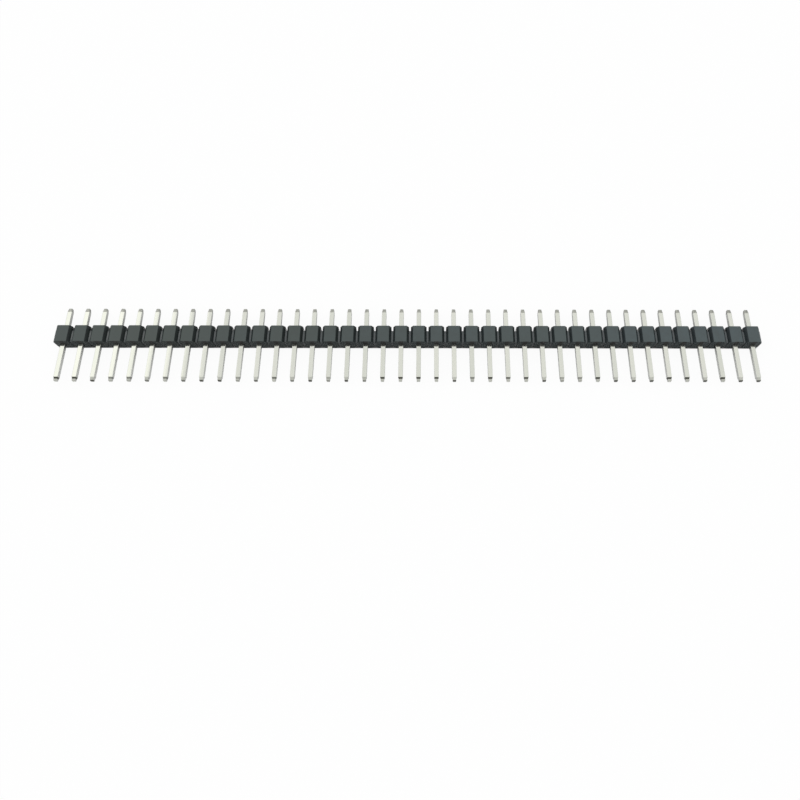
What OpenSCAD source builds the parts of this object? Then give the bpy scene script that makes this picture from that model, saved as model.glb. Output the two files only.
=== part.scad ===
// Break-away pin header strip: one moulded insulator of equal cells, joined by
// thin webs that snap, and one square contact pin pressed through each cell.
//
// The strip lies on a long side. X runs along the strip, Y along the pins
// towards the short solder tails, Z is up. The origin is on the resting plane,
// under the middle of the pins. All sizes are in millimetres.

/* [Strip] */
// Number of pins and cells
pin_count = 40; // [2:1:50]
// Distance from one pin to the next
pitch = 2.54; // [2.4:0.01:3.2]
// How far the strip is cut short of half a pitch beyond its first and last pin
end_trim = 0.08; // [0:0.01:0.12]

/* [Insulator] */
// Depth of a cell along the pins
body_depth = 2.5; // [2.2:0.05:4]
// Height of a cell across the pins, from one flat to the other
body_height = 2.5; // [2.1:0.05:3.2]
// Width of a cell at its widest, along the strip
cell_width = 2.28; // [1.9:0.01:2.32]
// Width of the flat on the top and underside of a cell
cell_flat = 1.63; // [1.2:0.01:1.84]
// Height of the slope between a flat and the cell's upright side
cell_slope = 0.5; // [0.2:0.05:0.8]
// Rounding of the moulded edges of a cell
edge_radius = 0.08; // [0.03:0.01:0.15]

/* [Break-off webs] */
// How deep the webs lie below the flats
web_recess = 0.55; // [0.2:0.05:0.8]
// How far the webs stand back from the face on the solder side
web_tail_step = 0.6; // [0.2:0.05:1.2]
// How far the webs stand back from the face on the contact side
web_contact_step = 0.1; // [0.04:0.02:0.5]

/* [Pins] */
// Side of the square wire
wire_width = 0.64; // [0.4:0.01:0.8]
// Rounding of the wire's four long edges
wire_radius = 0.05; // [0.02:0.01:0.1]
// Length of the solder tail beyond the insulator
tail_length = 3.1; // [1.5:0.1:6]
// Length of the contact side beyond the insulator
contact_length = 5.6; // [3:0.1:12]
// Length of each coined tip, from the shoulder to the very end
tip_length = 0.58; // [0.3:0.02:1]
// How far the taper goes in from each side of the wire, down to the blunt nose
tip_taper = 0.08; // [0.04:0.01:0.12]
// Length of the nose
nose_length = 0.08; // [0.04:0.01:0.25]
// How far the nose goes in again from each side, down to the small square end
nose_taper = 0.04; // [0.02:0.01:0.07]

/* [Press fit] */
// Gap between the wire and its hole on each side
hole_clearance = 0.02; // [0.01:0.01:0.08]
// Depth of the flared mouth of the hole on the solder side
mouth_depth = 0.15; // [0.05:0.01:0.4]
// How much the mouth widens on each side
mouth_flare = 0.1; // [0.02:0.01:0.25]
// Length of the coined barbs that hold a pin in its cell
barb_length = 0.9; // [0.5:0.05:1.4]
// How far a barb stands out from the wire
barb_reach = 0.08; // [0.03:0.01:0.15]
// Depth of the press marks that push the barbs out
mark_depth = 0.06; // [0.02:0.01:0.12]

/* [Hidden] */
$fn = 32;
overshoot = 1;    // how far a cutting shape reaches past what it cuts
pin_length = contact_length + body_depth + tail_length;
strip_length = pin_count * pitch - 2 * end_trim;
tail_end = pin_length / 2;
contact_end = -pin_length / 2;
tail_face = tail_end - tail_length;
contact_face = contact_end + contact_length;
pin_height = body_height / 2;
barb_middle = (tail_face + contact_face) / 2;
hole_width = wire_width + 2 * hole_clearance;

function pin_name(i) = str("pin_", i < 10 ? "0" : "", i);
function pin_x(i) = (i - (pin_count + 1) / 2) * pitch;

// ---- Helpers: an outline pushed along one of the three directions ----

// Outline in X and Z, pushed along Y
module along_pins(from, to) {
    translate([0, to, 0]) rotate([90, 0, 0]) linear_extrude(to - from) children();
}

// Outline in Y and Z, pushed along X to both sides of the middle
module along_strip(length) {
    translate([-length / 2, 0, 0]) rotate([90, 0, 90]) linear_extrude(length) children();
}

// Outline in X and Y, pushed up along Z
module upwards(from, to) {
    translate([0, 0, from]) linear_extrude(to - from) children();
}

// Rectangle between two corners with rounded corners, as straight sides and arcs
module round_rectangle(low, high, radius) {
    translate([low[0] + radius, low[1]]) square([high[0] - low[0] - 2 * radius, high[1] - low[1]]);
    translate([low[0], low[1] + radius]) square([high[0] - low[0], high[1] - low[1] - 2 * radius]);
    for (x = [low[0] + radius, high[0] - radius], y = [low[1] + radius, high[1] - radius])
        translate([x, y]) circle(radius);
}

// ---- Insulator ----

// Section of a cell seen along the pins: flats, slopes and upright sides
module cell_section() {
    polygon([
        [-cell_flat / 2, 0],
        [cell_flat / 2, 0],
        [cell_width / 2, cell_slope],
        [cell_width / 2, body_height - cell_slope],
        [cell_flat / 2, body_height],
        [-cell_flat / 2, body_height],
        [-cell_width / 2, body_height - cell_slope],
        [-cell_width / 2, cell_slope]
    ]);
}

// One cell: its section, with rounded edges as seen from the side and from above
module cell() {
    intersection() {
        along_pins(contact_face - overshoot, tail_face + overshoot) cell_section();
        along_strip(cell_width + overshoot)
            round_rectangle([contact_face, 0], [tail_face, body_height], edge_radius);
        upwards(-overshoot, body_height + overshoot)
            round_rectangle([-cell_width / 2, contact_face], [cell_width / 2, tail_face], edge_radius);
    }
}

// The bar that shows between the cells as the break-off webs
module web_bar() {
    along_strip(strip_length)
        translate([contact_face + web_contact_step, web_recess])
            square([body_depth - web_contact_step - web_tail_step, body_height - 2 * web_recess]);
}

// Outline of both barbs from above, pushed out of the wire's sides
module barb_outline() {
    side = wire_width / 2;
    for (turn = [0, 180])
        translate([0, barb_middle]) rotate(turn)
            polygon([
                [0, -barb_length / 2],
                [side, -barb_length / 2],
                [side + barb_reach, -barb_length / 2 + barb_reach],
                [side + barb_reach, barb_length / 2 - barb_reach],
                [side, barb_length / 2],
                [0, barb_length / 2]
            ]);
}

// Mouth of the hole: flares towards the solder side in both directions
module mouth() {
    narrow = hole_width / 2;
    wide = narrow + mouth_flare;
    flare = [
        [-narrow, -mouth_depth],
        [narrow, -mouth_depth],
        [wide, 0],
        [wide, overshoot],
        [-wide, overshoot],
        [-wide, 0]
    ];
    intersection() {
        upwards(-overshoot, body_height + overshoot)
            translate([0, tail_face]) polygon(flare);
        along_strip(cell_width)
            translate([tail_face, pin_height]) polygon([for (p = flare) [p[1], p[0]]]);
    }
}

// What a cell gives up for its pin: square hole, pockets for the barbs, mouth
module pin_hole() {
    along_pins(contact_face - overshoot, tail_face + overshoot)
        translate([0, pin_height]) square(hole_width, center = true);
    upwards(pin_height - hole_width / 2, pin_height + hole_width / 2) barb_outline();
    mouth();
}

module insulator() {
    color("#34383a")
    difference() {
        union() {
            web_bar();
            for (i = [1 : pin_count]) translate([pin_x(i), 0, 0]) cell();
        }
        for (i = [1 : pin_count]) translate([pin_x(i), 0, 0]) pin_hole();
    }
}

// ---- Pins ----

// Outline of the wire with both tips tapered, the second direction along the pin.
// From each shoulder it narrows to the nose, and the nose narrows to the end.
module tapered_outline() {
    side = wire_width / 2;
    tip = side - tip_taper;
    nose = tip - nose_taper;
    polygon([
        [-nose, contact_end],
        [nose, contact_end],
        [tip, contact_end + nose_length],
        [side, contact_end + tip_length],
        [side, tail_end - tip_length],
        [tip, tail_end - nose_length],
        [nose, tail_end],
        [-nose, tail_end],
        [-tip, tail_end - nose_length],
        [-side, tail_end - tip_length],
        [-side, contact_end + tip_length],
        [-tip, contact_end + nose_length]
    ]);
}

// Square wire with rounded edges, pressed to a taper on all four sides of each tip
module tapered_wire() {
    side = wire_width / 2;
    intersection() {
        along_pins(contact_end - overshoot, tail_end + overshoot)
            translate([0, pin_height]) round_rectangle([-side, -side], [side, side], wire_radius);
        upwards(-overshoot, body_height + overshoot) tapered_outline();
        along_strip(wire_width + overshoot)
            translate([0, pin_height]) mirror([1, -1]) tapered_outline();
    }
}

// Press marks above and below the barbs, one row of wedges across the wire
module press_marks() {
    half = barb_length / 2 - barb_reach;
    for (side = [-1, 1])
        along_strip(wire_width + 2 * barb_reach + overshoot)
            translate([barb_middle, pin_height + side * wire_width / 2])
                polygon([[-half, 0], [0, -side * mark_depth], [half, 0]]);
}

module pin() {
    color("#d2d4cc")
    difference() {
        union() {
            tapered_wire();
            upwards(pin_height - wire_width / 2 + wire_radius, pin_height + wire_width / 2 - wire_radius)
                barb_outline();
        }
        press_marks();
    }
}

insulator();
for (i = [1 : pin_count])
    translate([pin_x(i), 0, 0]) pin();
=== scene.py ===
# %% [markdown]
# # A break-away pin header strip
#
# The strip is one black moulded insulator of forty equal cells, with a bright
# plated contact pin pressed through each cell. It lies on its side on a white
# table, the short solder tails pointing away from the camera.
#
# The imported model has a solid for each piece. The solids could be kept and
# given new finishes, but most of their edges are hard, and light doesn't catch
# on them. So every piece is built again in its solid's place, with the small
# roundings of the real one, and the solid is hidden.
#
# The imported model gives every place. X runs along the strip, Y along the pins
# towards the solder tails, and Z is up. Blender works in metres, so a size in
# millimetres is written as a number times MM.

# %% Load the frame
from math import pi, radians

import bmesh
import bpy
from mathutils import Matrix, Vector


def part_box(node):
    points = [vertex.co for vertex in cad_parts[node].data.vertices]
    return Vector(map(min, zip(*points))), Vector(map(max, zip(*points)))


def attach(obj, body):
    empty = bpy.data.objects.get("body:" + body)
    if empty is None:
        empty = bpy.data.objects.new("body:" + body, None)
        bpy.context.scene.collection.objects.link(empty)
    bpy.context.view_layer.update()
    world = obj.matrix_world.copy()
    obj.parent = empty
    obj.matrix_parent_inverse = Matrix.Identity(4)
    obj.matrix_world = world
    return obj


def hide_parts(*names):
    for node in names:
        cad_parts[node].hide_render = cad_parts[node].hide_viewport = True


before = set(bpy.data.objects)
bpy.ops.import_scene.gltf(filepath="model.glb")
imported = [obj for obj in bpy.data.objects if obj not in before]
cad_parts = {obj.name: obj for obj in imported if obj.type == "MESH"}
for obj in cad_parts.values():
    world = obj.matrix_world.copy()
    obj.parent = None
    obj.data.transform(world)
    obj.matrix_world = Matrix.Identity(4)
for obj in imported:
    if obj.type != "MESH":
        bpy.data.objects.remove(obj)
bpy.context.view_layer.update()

MM = 0.001
NEAR = 0.01 * MM  # two places closer than this count as one

# %% Places that everything is built from
body_low, body_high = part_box("insulator")
pin_names = sorted(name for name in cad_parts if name.startswith("pin_"))
first_low, first_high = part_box(pin_names[0])
second_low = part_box(pin_names[1])[0]

pitch = second_low.x - first_low.x
strip_end = body_high.x
body_depth = body_high.y - body_low.y
body_height = body_high.z - body_low.z
middle_y = (body_low.y + body_high.y) / 2
middle_z = (body_low.z + body_high.z) / 2
pin_length = first_high.y - first_low.y
print("cells:", len(pin_names), " pitch mm:", round(pitch / MM, 3))

# %% [markdown]
# ## One cell of the insulator
#
# The insulator is moulded as a row of equal cells, one for each pin. Seen
# along its pin, a cell is an octagon: flat on the top and the underside,
# upright at the sides, with slopes between.
#
# The octagon could be drawn point by point and pulled along the pin. A cube
# with its corners cut off by one bevel is shorter, and its sizes stay plain
# to see. The slopes are steeper than 45 degrees, so the cube is made too wide,
# its corners are cut evenly, and it is squeezed back to its width. Then every
# edge gets the small rounding that a mould leaves.
#
# All shapes here are made in a bmesh, Blender's editable mesh, by operators.
# The first helpers stretch a cube to a block, find its edges and bevel them.


# %% Blocks and bevels
def block(size, centre=(0, 0, 0)):
    """A box of this size round this centre."""
    bm = bmesh.new()
    bmesh.ops.create_cube(bm, size=1)
    bmesh.ops.scale(bm, verts=bm.verts, vec=size)
    bmesh.ops.translate(bm, verts=bm.verts, vec=centre)
    return bm


def edges_along(bm, axis):
    """The edges that run straight along axis 0, 1 or 2."""
    straight = 0.999  # this share of the edge's length has to lie along the axis
    found = []
    for edge in bm.edges:
        way = edge.verts[1].co - edge.verts[0].co
        if abs(way[axis]) > straight * way.length:
            found.append(edge)
    return found


def round_edges(bm, edges, radius, segments):
    """Rounds these edges, or cuts them flat with one segment."""
    bmesh.ops.bevel(
        bm,
        geom=list(edges),
        offset=radius,
        offset_type="OFFSET",
        segments=segments,
        profile=0.5,
        affect="EDGES",
        material=-1,
        clamp_overlap=True,
    )


def as_object(bm, name):
    """Turns a bmesh into an object at the origin, with its faces pointing out."""
    bmesh.ops.recalc_face_normals(bm, faces=bm.faces)
    mesh = bpy.data.meshes.new(name)
    bm.to_mesh(mesh)
    bm.free()
    made = bpy.data.objects.new(name, mesh)
    bpy.context.scene.collection.objects.link(made)
    return made


print("tools for blocks and bevels ready")

# %% Cell block
cell_width = 2.28 * MM
cell_flat = 1.63 * MM
cell_slope = 0.5 * MM
mould_radius = 0.05 * MM

widen = cell_slope / ((cell_width - cell_flat) / 2)
shape = block((cell_width * widen, body_depth, body_height), (0, middle_y, middle_z))
round_edges(shape, edges_along(shape, 1), cell_slope, 1)
bmesh.ops.scale(shape, verts=shape.verts, vec=(1 / widen, 1, 1))
round_edges(shape, shape.edges, mould_radius, 3)
cell = as_object(shape, "cell")
print("cell faces:", len(cell.data.polygons))

# %% [markdown]
# ## The break-off web
#
# Neighbouring cells hang together by a web, thin enough to snap by hand. It
# lies well below the flats, and stands back from the faces that the pins come
# out of, most of all on the solder side.
#
# It could be a small plate between two cells. Here it is a bar that runs right
# through the cell and sticks out on both sides, joined to it by a Boolean
# modifier. That leaves no walls inside, and the bars of neighbouring cells can
# be welded where they meet.


# %% Join and take away
def combine(target, tool, operation):
    """Adds the tool's solid to the target's, or takes it away, then drops the tool."""
    step = target.modifiers.new(operation.lower(), "BOOLEAN")
    step.object = tool
    step.operation = operation
    step.solver = "EXACT"
    shown = target.evaluated_get(bpy.context.evaluated_depsgraph_get())
    result = bpy.data.meshes.new_from_object(shown)
    target.modifiers.remove(step)
    target.data = result
    bpy.data.objects.remove(tool)


print("tool for joining solids ready")

# %% Break-off web
web_recess = 0.55 * MM
contact_step = 0.1 * MM
solder_step = 0.6 * MM
web_spare = 1 * MM  # how much longer than the pitch the bar is, before it is trimmed
web_low = body_low.y + contact_step
web_high = body_high.y - solder_step

shape = block(
    (pitch + web_spare, web_high - web_low, body_height - 2 * web_recess),
    (0, (web_low + web_high) / 2, middle_z),
)
round_edges(shape, edges_along(shape, 0), mould_radius, 2)
combine(cell, as_object(shape, "web"), "UNION")
print("with web:", len(cell.data.polygons), "faces")

# %% [markdown]
# ## The pin's hole
#
# The hole goes right through the cell, with a little play round the wire. On
# the solder side it opens in a flared mouth that led the pin in. Inside it has
# a pocket on each side, where the pin's barbs bit into the plastic. The
# pockets are as high as the wire, a little lower than the hole.
#
# The hole's walls could be built face by face. It is easier to make each
# hollow as a solid of its own and take it away from the cell: a long block for
# the bore, a block with one end widened for the mouth, and a block with its
# corners cut off for the pockets.

# %% Bore
wire = 0.64 * MM
play = 0.02 * MM
hole = wire + 2 * play
bore_length = body_depth + 1.5 * MM  # reaches past both faces

bore = block((hole, bore_length, hole), (0, middle_y, middle_z))
combine(cell, as_object(bore, "bore"), "DIFFERENCE")
print("with bore:", len(cell.data.polygons), "faces")

# %% Flared mouth
mouth_depth = 0.15 * MM
mouth_flare = 0.1 * MM

# The block reaches as far outside the face as inside it, so its outer end is
# flared twice as far on each side as the mouth is at the face.
mouth = block((hole, 2 * mouth_depth, hole))
flared = (hole + 2 * 2 * mouth_flare) / hole
outer = [vert for vert in mouth.verts if vert.co.y > 0]
bmesh.ops.scale(mouth, verts=outer, vec=(flared, 1, flared))
bmesh.ops.translate(mouth, verts=mouth.verts, vec=(0, body_high.y, middle_z))
combine(cell, as_object(mouth, "mouth"), "DIFFERENCE")
print("with mouth:", len(cell.data.polygons), "faces")

# %% Pockets for the barbs
barb_length = 0.9 * MM
barb_reach = 0.08 * MM
pocket_corner = 0.9 * barb_reach

pocket = block((wire + 2 * barb_reach, barb_length, wire), (0, middle_y, middle_z))
round_edges(pocket, edges_along(pocket, 2), pocket_corner, 1)
combine(cell, as_object(pocket, "pocket"), "DIFFERENCE")
print("with pockets:", len(cell.data.polygons), "faces")

# %% [markdown]
# ## Small tools for finishes
#
# A finish is the colour, the gloss and the fine relief of a surface. A picture
# could be wrapped round each piece, but it would show seams and blur close up.
# So every finish is a tree of nodes that works out its pattern at each place.
# It starts from Object coordinates, so it sits still on the piece from every
# side.
#
# Each helper adds one node, or a short chain, and joins it to the tree. A mask
# is a value from 0 to 1 that says where something happens.


# %% A new finish, and sockets
def finish(name):
    """A new material: itself, its nodes, its shader, and its coordinates."""
    made = bpy.data.materials.new(name)
    made.use_nodes = True
    tree = made.node_tree
    shader = tree.nodes["Principled BSDF"]
    coordinates = tree.nodes.new("ShaderNodeTexCoord")
    return made, tree, shader, coordinates.outputs


def feed(tree, socket, value):
    """Gives a socket a number or a colour, or joins another socket to it."""
    if isinstance(value, bpy.types.NodeSocket):
        tree.links.new(value, socket)
    elif isinstance(value, tuple):
        socket.default_value = (*value, 1)
    else:
        socket.default_value = value


def split(tree, vector):
    """The X, Y and Z of a place or a direction, each on its own."""
    node = tree.nodes.new("ShaderNodeSeparateXYZ")
    tree.links.new(vector, node.inputs["Vector"])
    return node.outputs["X"], node.outputs["Y"], node.outputs["Z"]


print("tools for new finishes ready")


# %% Sums and ranges
def calculate(tree, operation, first, second=0.0):
    """One sum on one value or two, each a number or a socket."""
    node = tree.nodes.new("ShaderNodeMath")
    node.operation = operation
    feed(tree, node.inputs[0], first)
    feed(tree, node.inputs[1], second)
    return node.outputs["Value"]


def plus(tree, first, second):
    """The sum of two values."""
    return calculate(tree, "ADD", first, second)


def minus(tree, first, second):
    """The first value less the second."""
    return calculate(tree, "SUBTRACT", first, second)


def times(tree, first, *others):
    """All the values multiplied."""
    for other in others:
        first = calculate(tree, "MULTIPLY", first, other)
    return first


def plain(tree, value):
    """The value without its sign, so that both sides are treated alike."""
    return calculate(tree, "ABSOLUTE", value)


def spread(tree, value, low, high, out_low=0, out_high=1):
    """Takes the range low to high to the range out_low to out_high."""
    node = tree.nodes.new("ShaderNodeMapRange")
    node.inputs["From Min"].default_value = low
    node.inputs["From Max"].default_value = high
    node.inputs["To Min"].default_value = out_low
    node.inputs["To Max"].default_value = out_high
    tree.links.new(value, node.inputs["Value"])
    return node.outputs["Result"]


def between(tree, mask, first, second):
    """A colour that runs from the first to the second as the mask goes from 0 to 1."""
    node = tree.nodes.new("ShaderNodeMix")
    node.data_type = "RGBA"
    feed(tree, node.inputs["A"], first)
    feed(tree, node.inputs["B"], second)
    feed(tree, node.inputs["Factor"], mask)
    return node.outputs["Result"]


print("tools for sums and ranges ready")


# %% Patterns and relief
def stretched(tree, place, scale):
    """The coordinates, scaled by a different amount along X, Y and Z."""
    node = tree.nodes.new("ShaderNodeMapping")
    node.inputs["Scale"].default_value = scale
    tree.links.new(place, node.inputs["Vector"])
    return node.outputs["Vector"]


def noise(tree, place, scale, detail):
    """Cloudy noise, its size set by scale in patches per metre."""
    node = tree.nodes.new("ShaderNodeTexNoise")
    node.inputs["Scale"].default_value = scale
    node.inputs["Detail"].default_value = detail
    node.inputs["Roughness"].default_value = 0.55  # how much its finest patches show
    tree.links.new(place, node.inputs["Vector"])
    return node.outputs["Fac"]


def chance(tree, number):
    """A value from 0 to 1 that is random, but always the same for one number."""
    node = tree.nodes.new("ShaderNodeTexWhiteNoise")
    node.noise_dimensions = "1D"
    tree.links.new(number, node.inputs["W"])
    return node.outputs["Value"]


def bump(tree, height, distance, strength, under=None):
    """Raises the surface where height is 1, by distance in metres."""
    node = tree.nodes.new("ShaderNodeBump")
    node.inputs["Strength"].default_value = strength
    node.inputs["Distance"].default_value = distance
    tree.links.new(height, node.inputs["Height"])
    if under is not None:
        tree.links.new(under, node.inputs["Normal"])
    return node.outputs["Normal"]


print("tools for patterns and relief ready")

# %% [markdown]
# ## The insulator's finish
#
# The insulator is moulded from a heat-proof polyester filled with glass, dyed
# black. Close up it is a dark slate grey with a matte skin. Along the strip its
# colour is painted from faint green at the left-hand end to a lighter faint blue
# at the right-hand end, as painted light of a cool light on that end. The flow
# of the melt leaves faint cloudy patches.
#
# One plain black could do from far off, but close up it would look like paint.
# So two pairs of shades, a cool one and a warm one, are mixed along the strip as
# painted light, and in patches as random tone, and slow clouds run through each
# pair.

# %% The moulded black: shades and clouds
cool_shades = (0.036, 0.055, 0.060), (0.052, 0.078, 0.086)
warm_shades = (0.021, 0.033, 0.029), (0.033, 0.048, 0.042)

plastic, tree, shader, coordinates = finish("moulded_black")
place = coordinates["Object"]
x, y, z = split(tree, place)
clouds = noise(tree, place, 1300, 4)
cast = noise(tree, place, 70, 1)
shade = plus(tree, times(tree, clouds, 0.6), times(tree, cast, 0.4))
shade = spread(tree, shade, 0.35, 0.65)
cool = between(tree, shade, *cool_shades)
warm = between(tree, shade, *warm_shades)
# Painted light: towards the right-hand end the colour is painted cooler and lighter; the patches
# add random tone.
painted_light_drift = spread(tree, x, 0.8 * strip_end, -0.2 * strip_end, 0, 0.7)
patches = spread(tree, cast, 0.4, 0.6, 0, 0.3)
black = between(tree, plus(tree, painted_light_drift, patches), cool, warm)
print("insulator finish:", plastic.name)

# %% [markdown]
# Some places are painted lighter or darker for the way light falls on them.
# The webs are smoother than the cells, and painted lighter as a painted
# highlight. The faces that the pins come out of are duller, and they and the
# slopes are painted darker as painted shade. On the contact face, a dark spot
# of painted shade lies right above each pin, where little light reaches
# between the pin and the face.
#
# These places could be painted by hand or cut off as faces of their own. Masks
# are shorter and follow the sizes: PINGPONG folds X into the distance from the
# nearest web's middle, and the Normal says which way the surface faces.

# %% The moulded black: painted light and shade on webs, faces and slopes
web_half = (pitch - cell_width) / 2
web_fade = 0.02 * MM
web_painted_light = (0.046, 0.056, 0.062)
face_painted_shade = (0.010, 0.012, 0.014)
slope_painted_shade = (0.008, 0.010, 0.011)

facing_x, facing_y = split(tree, coordinates["Normal"])[:2]
from_web = calculate(tree, "PINGPONG", x, pitch / 2)
on_web = spread(tree, from_web, web_half + web_fade, web_half)
on_face = spread(tree, plain(tree, facing_y), 0.7, 0.95)
on_slope = spread(tree, plain(tree, facing_x), 0.5, 0.75)
# Painted highlight on the webs; painted shade on the end faces and the slopes.
black = between(tree, times(tree, on_web, 0.7), black, web_painted_light)
black = between(tree, times(tree, on_face, 0.6), black, face_painted_shade)
black = between(tree, times(tree, on_slope, 0.7), black, slope_painted_shade)
print("web's half width mm:", round(web_half / MM, 3))

# %% The moulded black: painted shade above the pins
wire_side = (pitch - wire) / 2
wire_fade = 0.04 * MM
spot_low = middle_z + wire / 2 - 0.02 * MM
spot_high = middle_z + wire / 2 + 0.04 * MM
spot_painted_shade = (0.001, 0.001, 0.001)

over_pin = spread(tree, from_web, wire_side - wire_fade, wire_side + wire_fade)
above_pin = spread(tree, z, spot_low, spot_high)
in_front = calculate(tree, "LESS_THAN", y, middle_y)
leaning = spread(tree, plain(tree, facing_y), 0.2, 0.5)
# Painted shade: the contact face is darkened just above each pin.
painted_spot = times(tree, over_pin, above_pin, in_front, leaning)
black = between(tree, times(tree, painted_spot, 0.95), black, spot_painted_shade)
feed(tree, shader.inputs["Base Color"], black)
print("spots start mm above the underside:", round(spot_low / MM, 2))

# %% [markdown]
# The skin has two sizes of fine relief: the grain of the mould, and the glass
# just below the skin, which lies along the flow. Real bumps this small would
# take millions of faces, so a Bump node tilts the light instead.

# %% The moulded black: skin
relief = 0.006 * MM
grain = noise(tree, place, 9000, 3)
glass = noise(tree, stretched(tree, place, (9000, 2600, 9000)), 1, 2)
skin = bump(tree, grain, relief, 0.6)
skin = bump(tree, glass, relief, 0.5, skin)
feed(tree, shader.inputs["Normal"], skin)

rough = spread(tree, clouds, 0.3, 0.7, 0.38, 0.48)
rough = minus(tree, rough, times(tree, on_web, 0.27))
rough = plus(tree, rough, times(tree, on_face, 0.3))
feed(tree, shader.inputs["Roughness"], rough)
shader.inputs["Specular IOR Level"].default_value = 0.7
print("nodes in", plastic.name + ":", len(tree.nodes))

# %% [markdown]
# ## The whole strip
#
# The real strip is one moulding, snapped off a longer one. The forty cells
# could be an Array modifier's copies, but the two at the ends differ, since
# their outer webs are short stubs.
#
# So each copy is trimmed to one pitch, and its web ends exactly where the next
# cell's web begins. The copies are set side by side and welded there into one
# solid. The outer webs are trimmed where the strip ends, and closed with a
# flat face.


# %% Trim a cell
def trimmed(left, right, close_left, close_right):
    """A copy of the cell, cut at left and right, and closed where it ends."""
    part = bmesh.new()
    part.from_mesh(cell.data)
    for side, closed, way in ((left, close_left, -1), (right, close_right, 1)):
        cut = bmesh.ops.bisect_plane(
            part,
            geom=list(part.verts) + list(part.edges) + list(part.faces),
            plane_co=(side, 0, 0),
            plane_no=(way, 0, 0),
            clear_outer=True,
        )
        if closed:
            loop = [item for item in cut["geom_cut"] if isinstance(item, bmesh.types.BMEdge)]
            bmesh.ops.edgeloop_fill(part, edges=loop)
    return part


print("tool for trimming cells ready")

# %% Repeat and weld the cells
weld = 0.0005 * MM

strip = bmesh.new()
for name in pin_names:
    low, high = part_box(name)
    x = (low.x + high.x) / 2
    is_first = name == pin_names[0]
    is_last = name == pin_names[-1]
    left = -strip_end - x if is_first else -pitch / 2
    right = strip_end - x if is_last else pitch / 2
    part = trimmed(left, right, is_first, is_last)
    bmesh.ops.translate(part, verts=part.verts, vec=(x, 0, 0))
    copy = bpy.data.meshes.new("copy")
    part.to_mesh(copy)
    part.free()
    strip.from_mesh(copy)
    bpy.data.meshes.remove(copy)
bmesh.ops.remove_doubles(strip, verts=strip.verts, dist=weld)
open_edges = sum(1 for edge in strip.edges if not edge.is_manifold)
insulator = as_object(strip, "moulded_insulator")
bpy.data.objects.remove(cell)
print("cells welded:", len(pin_names), " open edges:", open_edges)

# %% [markdown]
# Shading is smooth over the roundings and breaks at sharp corners. Weighted
# normals then turn the light on each flat to the flat's own direction, so the
# narrow roundings beside it don't make it look swollen.


# %% Shade and hand over the insulator
def smooth(made):
    """Soft shading over the roundings, with even flats between them."""
    crease = 35  # degrees; where two faces turn more than this, the edge stays sharp
    made.data.shade_smooth()
    made.data.set_sharp_from_angle(angle=radians(crease))
    flats = made.modifiers.new("even flats", "WEIGHTED_NORMAL")
    flats.keep_sharp = True
    flats.weight = 100


def triangles(made):
    """How many triangles a piece has."""
    return sum(len(face.vertices) - 2 for face in made.data.polygons)


smooth(insulator)
insulator.data.materials.clear()
insulator.data.materials.append(plastic)
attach(insulator, "root")
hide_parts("insulator")
print("insulator triangles:", triangles(insulator))

# %% [markdown]
# ## The pins
#
# A pin is a length of square wire, its long edges softened by the drawing die.
# Both ends are squeezed to a taper, so that they find their holes in a board
# or a socket. In the middle two barbs stand out at the sides, pushed out by a
# press mark above and one below.
#
# A pin could be joined from blocks and pyramids. It is simpler to take one
# block, cut rings round it wherever the form changes, and then move the rings,
# much as the press does: inwards at the tips, outwards at the barbs, and down
# into the press marks. No walls are left inside, and all faces stay joined.

# %% Wire with rings cut round it
wire_radius = 0.05 * MM
tip_length = 0.58 * MM
nose_length = 0.08 * MM
step_length = 0.12 * MM

end = pin_length / 2
shoulder = end - tip_length
nose = end - nose_length
step = -shoulder - step_length
barb = middle_y
barb_half = barb_length / 2
barb_flat = barb_half - barb_reach

pin = block((wire, pin_length, wire))
round_edges(pin, edges_along(pin, 1), wire_radius, 2)
rings = [-nose, step, -shoulder, shoulder, nose, barb]
rings += [barb - barb_half, barb - barb_flat, barb + barb_flat, barb + barb_half]
for ring_y in rings:
    bmesh.ops.bisect_plane(
        pin,
        geom=list(pin.verts) + list(pin.edges) + list(pin.faces),
        plane_co=(0, ring_y, 0),
        plane_no=(0, 1, 0),
    )
print("rings cut round the wire:", len(rings))

# %% [markdown]
# Each tip narrows from its shoulder to a short blunt nose, and the nose
# narrows once more to its end. The contact tips also have a short step at the
# shoulder, where the squeezing began. Each of these rings is drawn in towards
# the pin's middle by one share in X and Z, which keeps the pin square.


# %% Squeeze the tips
def ring_at(bm, ring_y):
    """The vertices of the ring that runs round the pin at this place."""
    return [vert for vert in bm.verts if abs(vert.co.y - ring_y) < NEAR]


tip_taper = 0.08 * MM
nose_taper = 0.04 * MM
step_taper = 0.05 * MM
tip_width = wire - 2 * tip_taper
end_width = tip_width - 2 * nose_taper
step_width = wire - 2 * step_taper

widths = {
    -end: end_width,
    -nose: tip_width,
    step: step_width,
    nose: tip_width,
    end: end_width,
}
for ring_y, width in widths.items():
    for vert in ring_at(pin, ring_y):
        vert.co.x *= width / wire
        vert.co.z *= width / wire
print("tip width mm:", round(tip_width / MM, 2), " end width mm:", round(end_width / MM, 2))

# %% Push out the barbs
mark_depth = 0.06 * MM

for side in (-1, 1):
    for ring_y in (barb - barb_flat, barb, barb + barb_flat):
        for vert in ring_at(pin, ring_y):
            if side * vert.co.x > wire / 2 - NEAR:
                vert.co.x += side * barb_reach
    for vert in ring_at(pin, barb):
        if side * vert.co.z > wire / 2 - NEAR:
            vert.co.z -= side * mark_depth
print("width over barbs mm:", round((wire + 2 * barb_reach) / MM, 2))

# %% [markdown]
# Last come the rims round the nose and the end. The solder tails are cut
# fairly square, while the contact ends are rounded more, so that they slide
# into a socket.


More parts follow.
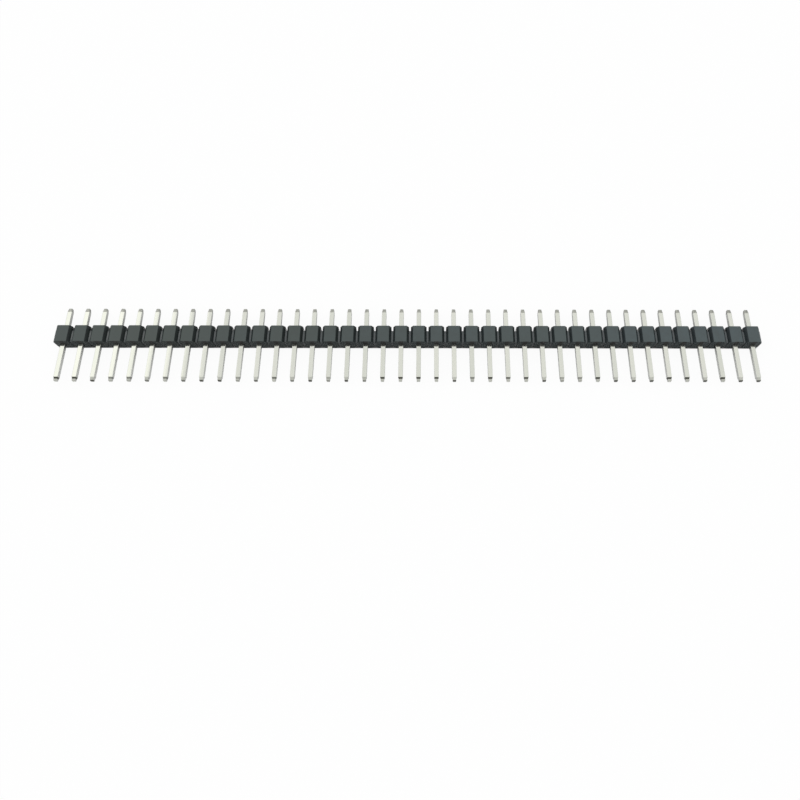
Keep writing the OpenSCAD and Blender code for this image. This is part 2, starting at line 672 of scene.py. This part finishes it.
# %% Round the rims
def rims(bm, side):
    """The edges round the nose and round the end, on one side of the pin."""
    nose_ring = set(ring_at(bm, side * nose))
    end_ring = set(ring_at(bm, side * end))
    found = []
    for edge in bm.edges:
        if nose_ring.issuperset(edge.verts) or end_ring.issuperset(edge.verts):
            found.append(edge)
    return found


tail_rim = 0.03 * MM
contact_rim = 0.07 * MM
round_edges(pin, rims(pin, 1), tail_rim, 2)
round_edges(pin, rims(pin, -1), contact_rim, 3)
pin_form = as_object(pin, "pin_form")
print("pin triangles:", triangles(pin_form))

# %% [markdown]
# ## The pins' finish
#
# The pins are plated with bright tin. Drawing the wire leaves fine lines along
# it, and no two pins are quite the same tone. The flanks are rougher than the
# top, and painted darker as a painted reflection of the dim floor beside the
# pins, darkest on the solder side.
#
# Forty materials could give forty tones, but one is enough. White Noise turns
# a pin's number, which comes from its X, into a random value that is always
# the same for that pin.

# %% Bright tin: tone and lines
tin_shades = (0.54, 0.55, 0.50), (0.65, 0.65, 0.595)
flank_painted_shades = (0.50, 0.50, 0.48), (0.63, 0.63, 0.61)  # on the solder and the contact side

tin, tree, shader, coordinates = finish("bright_tin")
place = coordinates["Object"]
x, y = split(tree, place)[:2]
facing_x, facing_y = split(tree, coordinates["Normal"])[:2]
number = calculate(tree, "ROUND", plus(tree, calculate(tree, "DIVIDE", x, pitch), 0.5))
lines = noise(tree, stretched(tree, place, (9000, 260, 9000)), 1, 3)
tone = plus(tree, times(tree, chance(tree, number), 0.5), times(tree, lines, 0.5))
bright = between(tree, tone, *tin_shades)

# Painted reflection: the flanks are painted darker than the top, darker still on the solder side.
contact_side = calculate(tree, "LESS_THAN", y, 0)
on_flank = spread(tree, plain(tree, facing_x), 0.6, 0.9)
flank_painted_shade = between(tree, contact_side, *flank_painted_shades)
colour = between(tree, on_flank, bright, flank_painted_shade)
print("pin finish:", tin.name)

# %% [markdown]
# The tips are squeezed after plating, which scuffs them. Their facets are
# painted darker, a painted reflection of the dim room, most of all on the solder
# side, while the end faces are left lighter, a painted reflection of the white
# table. On the contact side a dark ring of painted reflection lies on some pins
# at the shoulder and on others at the nose, where the facet mirrors the dim room
# in front of the strip.
#
# The rings could be painted pin by pin. Instead a second random value slides
# from one kind to the other, and masks set each kind in its place by the
# distance from the pin's end.

# %% Bright tin: painted reflections on the tips and rings
tip_low = tip_length - 0.01 * MM
tip_high = tip_length + 0.005 * MM
tip_painted_shade = (0.22, 0.22, 0.20)
ring_painted_reflection = (0.05, 0.05, 0.04)

from_end = minus(tree, end, plain(tree, y))
squeezed = spread(tree, from_end, tip_high, tip_low)
scuffs = noise(tree, place, 5200, 3)
shade_blotches = spread(tree, scuffs, 0.35, 0.65, 0.5, 0.9)
off_end_face = spread(tree, plain(tree, facing_y), 0.7, 0.9, 1, 0.3)
lighter_contact_side = minus(tree, 1, times(tree, contact_side, 0.65))
# Painted reflection: the tip facets are darkened in blotches, less on the contact side, and least
# on the end faces, which mirror the white table.
scuffed_and_shaded = times(tree, squeezed, shade_blotches, off_end_face, lighter_contact_side)
colour = between(tree, scuffed_and_shaded, colour, tip_painted_shade)

kind = chance(tree, plus(tree, number, 0.5))
shoulder_ring = spread(tree, from_end, 0.28 * MM, 0.34 * MM)
nose_ring = spread(tree, from_end, 0.18 * MM, 0.10 * MM)
at_shoulder = times(tree, spread(tree, kind, 0.4, 0.8), shoulder_ring)
at_nose = times(tree, spread(tree, kind, 0.7, 0.3), nose_ring)
# Painted reflection: a dark ring, at the shoulder or at the nose, on the contact side only.
painted_dark_ring = times(tree, plus(tree, at_shoulder, at_nose), squeezed, contact_side)
colour = between(tree, times(tree, painted_dark_ring, 0.95), colour, ring_painted_reflection)
feed(tree, shader.inputs["Base Color"], colour)
print("scuffed tips mm:", round(tip_low / MM, 2), "to", round(tip_high / MM, 3))

# %% Bright tin: gloss and relief
rough = spread(tree, tone, 0.2, 0.8, 0.13, 0.20)
rough = plus(tree, rough, times(tree, scuffed_and_shaded, 0.10))
rough = plus(tree, rough, times(tree, on_flank, 0.12))
feed(tree, shader.inputs["Roughness"], rough)
drawn = bump(tree, lines, 0.004 * MM, 0.6)
drawn = bump(tree, times(tree, scuffs, squeezed), 0.02 * MM, 0.6, drawn)
feed(tree, shader.inputs["Normal"], drawn)
shader.inputs["Metallic"].default_value = 1.0
print("nodes in", tin.name + ":", len(tree.nodes))

# %% [markdown]
# ## Forty pins
#
# The real pins are separate pieces, pressed in one by one. An Array modifier
# would make the row in one go, but as a single piece. So the pin's mesh is
# copied for each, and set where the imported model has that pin.

# %% Forty pins
for name in pin_names:
    low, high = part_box(name)
    mesh = pin_form.data.copy()
    mesh.transform(Matrix.Translation((low + high) / 2))
    piece = bpy.data.objects.new("tin_" + name, mesh)
    bpy.context.scene.collection.objects.link(piece)
    smooth(piece)
    mesh.materials.append(tin)
    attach(piece, "root")
    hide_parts(name)
bpy.data.objects.remove(pin_form)
print("pins:", len(pin_names))

# %% [markdown]
# ## The table
#
# The strip lies on plain white, with a faint shadow beside it. Lamps strong
# enough to turn a floor white would burn out the pins. So the table glows, and
# only for the camera's rays, which Light Path tells from the others. The rays
# that carry light find a plain grey, and the pins mirror white.
#
# Little light reaches the table between the cells, and a glow there would fill
# the dark slots. So under the strip the glow stops, and the table there is
# painted a darker grey as a painted shadow.

# %% Table
table_side = 3
table_depth = 0.002
table = as_object(block((table_side, table_side, table_depth), (0, 0, -table_depth / 2)), "table")

white, tree, shader, coordinates = finish("white_table")
shader.inputs["Roughness"].default_value = 1.0
shader.inputs["Specular IOR Level"].default_value = 0.0
x, y = split(tree, coordinates["Object"])[:2]
along_edge = 0.1 * MM
across_edge = 0.05 * MM
along = spread(tree, plain(tree, x), strip_end + along_edge, strip_end - along_edge)
from_middle = plain(tree, minus(tree, y, middle_y))
across = spread(tree, from_middle, body_depth / 2 + across_edge, body_depth / 2 - across_edge)
under = times(tree, along, across)
print("dark part of the table mm:", round(2 * strip_end / MM, 1), "by", round(body_depth / MM, 1))

# %% White for the camera, grey for the light
rays = tree.nodes.new("ShaderNodeLightPath").outputs
seen = plus(tree, rays["Is Camera Ray"], rays["Is Glossy Ray"])
seen = plus(tree, seen, rays["Is Transmission Ray"])
seen = calculate(tree, "MINIMUM", seen, 1.0)
paint = between(tree, seen, (0.6, 0.6, 0.6), (1.0, 1.0, 1.0))
# Painted shadow: under the strip the table's colour is a darker grey.
feed(tree, shader.inputs["Base Color"], between(tree, under, paint, (0.3, 0.3, 0.3)))

glow = tree.nodes.new("ShaderNodeEmission")
top = tree.nodes.new("ShaderNodeMixShader")
lit = times(tree, rays["Is Camera Ray"], spread(tree, under, 0, 1, 0.93, 0))
feed(tree, top.inputs["Fac"], lit)
tree.links.new(shader.outputs["BSDF"], top.inputs[1])
tree.links.new(glow.outputs["Emission"], top.inputs[2])
tree.links.new(top.outputs["Shader"], tree.nodes["Material Output"].inputs["Surface"])
table.data.materials.append(white)
print("table:", table_side, "m wide, finish:", white.name)

# %% [markdown]
# ## The light
#
# Bright metal shows what stands round it more than its own colour. The room
# could be one even white, but then the pins would look like plain strips of
# paper. So the room is bright above and dim near the horizon, a little lighter
# and cooler on the left. The tops of the pins mirror the bright part and their
# flanks the dim one. The camera itself sees plain white.

# %% Room
world = bpy.data.worlds.new("soft room")
bpy.context.scene.world = world
world.use_nodes = True
tree = world.node_tree
room = tree.nodes["Background"]
directions = tree.nodes.new("ShaderNodeTexCoord")
x, _, z = split(tree, directions.outputs["Generated"])
height = spread(tree, z, 0.1, 0.7)
left = spread(tree, x, -0.3, -0.9)
horizon = between(tree, left, (0.21, 0.22, 0.23), (0.50, 0.56, 0.64))
sky = between(tree, height, horizon, (0.98, 0.99, 0.98))
rays = tree.nodes.new("ShaderNodeLightPath").outputs
sky = between(tree, rays["Is Camera Ray"], sky, (1.0, 1.0, 1.0))
feed(tree, room.inputs["Color"], sky)
print("room:", world.name)

# %% [markdown]
# Two lamps hang above and behind the strip: a wide soft window, and on the
# left a brighter, slightly yellow pane that lights up the pins at that end. A
# small lamp would leave hard shadows and sparks, so both are large.


# %% Lamps
def soft_lamp(name, size, place, brightness):
    """A lamp that faces down, and looks equally bright whatever its size."""
    light = bpy.data.lights.new(name, "AREA")
    light.shape = "RECTANGLE"
    light.size, light.size_y = size
    light.energy = brightness * pi * light.size * light.size_y
    lamp = bpy.data.objects.new(name, light)
    bpy.context.scene.collection.objects.link(lamp)
    lamp.location = place
    return light


window = soft_lamp("soft window", (0.66, 0.28), (-0.02, 0.196, 0.40), 0.18)
pane = soft_lamp("bright pane", (0.20, 0.26), (-0.28, 0.196, 0.39), 0.45)
pane.color = (1.0, 1.0, 0.92)
print("lamps in watts:", round(window.energy, 4), round(pane.energy, 4))

# %% [markdown]
# ## The camera
#
# The camera stands close in front of the strip and looks down on it, so the
# pins seem to fan out towards it. It could be aimed at the strip by a
# constraint, but three plain turns are easier to read. Shift slides the view
# in its frame without turning the camera.

# %% Camera
scene = bpy.context.scene
lens = bpy.data.cameras.new("camera")
lens.lens = 33.3
lens.sensor_width = 36
lens.shift_x = -0.0477
lens.shift_y = -0.0919
lens.clip_start = 0.005
lens.clip_end = 10
camera = bpy.data.objects.new("camera", lens)
scene.collection.objects.link(camera)
camera.location = (2.63 * MM, -41.41 * MM, 99.56 * MM)
camera.rotation_euler = (radians(24.274), radians(-0.744), radians(-0.228))
scene.camera = camera
scene.view_settings.view_transform = "Standard"
print("camera mm:", [round(v / MM, 2) for v in camera.location])
